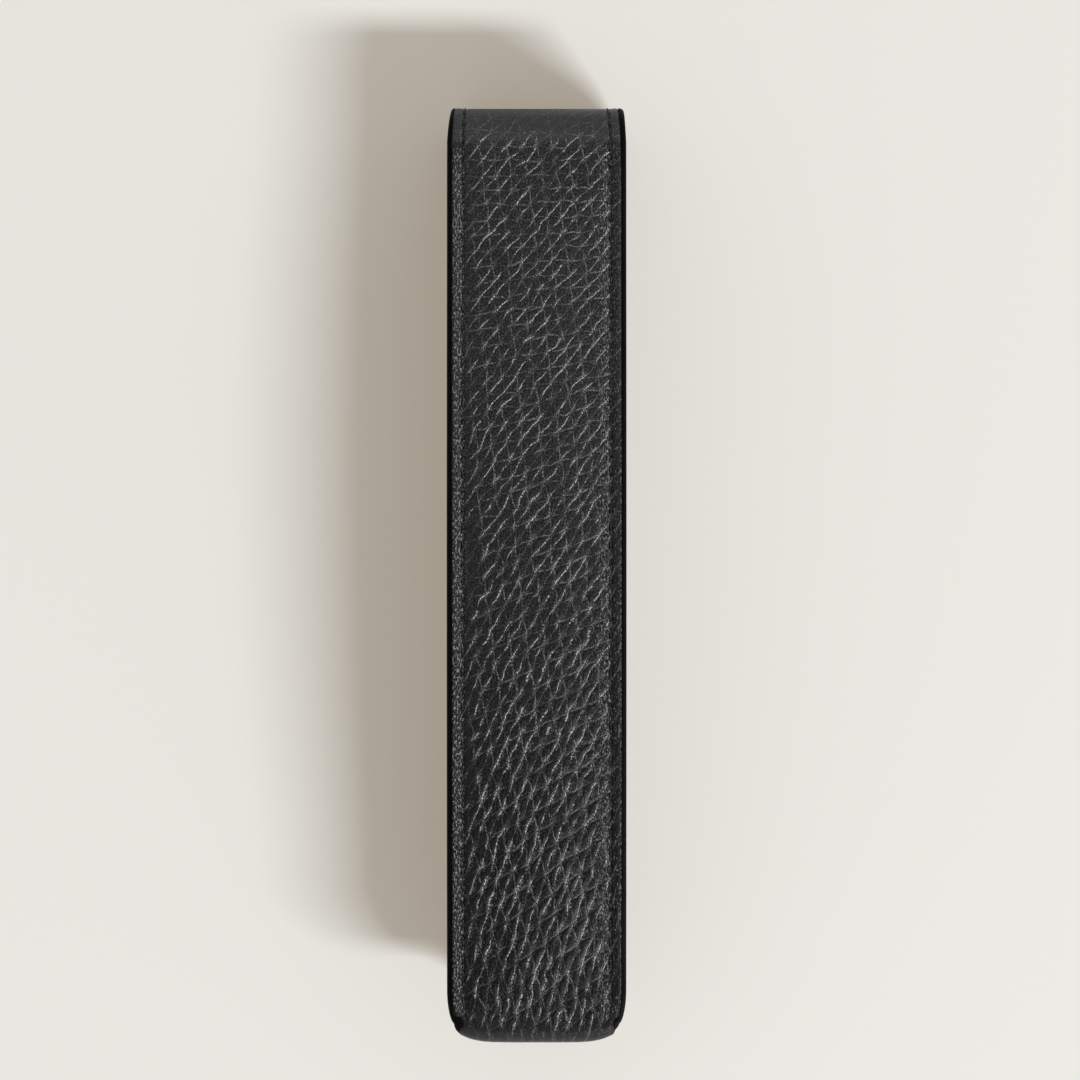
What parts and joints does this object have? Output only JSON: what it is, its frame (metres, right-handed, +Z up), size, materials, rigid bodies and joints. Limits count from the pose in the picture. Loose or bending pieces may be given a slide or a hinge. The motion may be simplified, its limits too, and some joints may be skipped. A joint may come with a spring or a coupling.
{
  "type": "fountain pen case",
  "caption": "Slim black grain-leather fountain pen case with a sewn, formed pocket and a flap that folds over its mouth and closes by a hidden magnet.",
  "frame": {"origin": "on the table, under the middle of the closed case as it lies on its front", "axes": "+X across the case, +Y towards the fold of the flap, +Z up, out of the plain back"},
  "size_m": [0.0306, 0.16, 0.0226],
  "materials": {
    "grain_leather": "satin",
    "lining": "matte",
    "board": "matte",
    "padding": "matte",
    "edge_paint": "satin",
    "thread": "satin",
    "plated_steel": "plated"
  },
  "bodies": {
    "case": {"outer_strip": "grain_leather", "back_lining": "lining", "back_padding": "padding", "front_lining": "lining", "keeper_plate": "plated_steel", "mouth_edge_paint": "edge_paint", "mouth_thread": "thread", "left_edge_paint": "edge_paint", "right_edge_paint": "edge_paint", "left_back_thread": "thread", "right_back_thread": "thread", "left_front_thread": "thread", "right_front_thread": "thread"},
    "fold_1": {"fold_leather_1": "grain_leather", "fold_lining_1": "lining"},
    "fold_2": {"fold_leather_2": "grain_leather", "fold_lining_2": "lining"},
    "fold_3": {"fold_leather_3": "grain_leather", "fold_lining_3": "lining"},
    "flap": {"flap_leather": "grain_leather", "flap_lining": "lining", "flap_board": "board", "flap_magnet": "plated_steel", "flap_thread": "thread", "flap_edge_paint": "edge_paint"}
  },
  "joints": [
    {"name": "flap_open", "type": "hinge", "parent": "case", "child": "fold_1", "pos_m": [0, 0.0763, 0.01854], "axis": [1, 0, 0], "range_deg": [0, 45]},
    {"name": "fold_bend_2", "type": "hinge", "parent": "fold_1", "child": "fold_2", "pos_m": [0, 0.07954, 0.0153], "axis": [1, 0, 0], "range_deg": [0, 45]},
    {"name": "fold_bend_3", "type": "hinge", "parent": "fold_2", "child": "fold_3", "pos_m": [0, 0.07954, 0.0037], "axis": [1, 0, 0], "range_deg": [0, 45]},
    {"name": "fold_bend_4", "type": "hinge", "parent": "fold_3", "child": "flap", "pos_m": [0, 0.0763, 0.00046], "axis": [1, 0, 0], "range_deg": [0, 45]}
  ],
  "couplings": [
    {"joint": "fold_bend_2", "follows": "flap_open", "ratio": 1},
    {"joint": "fold_bend_3", "follows": "flap_open", "ratio": 1},
    {"joint": "fold_bend_4", "follows": "flap_open", "ratio": 1}
  ]
}
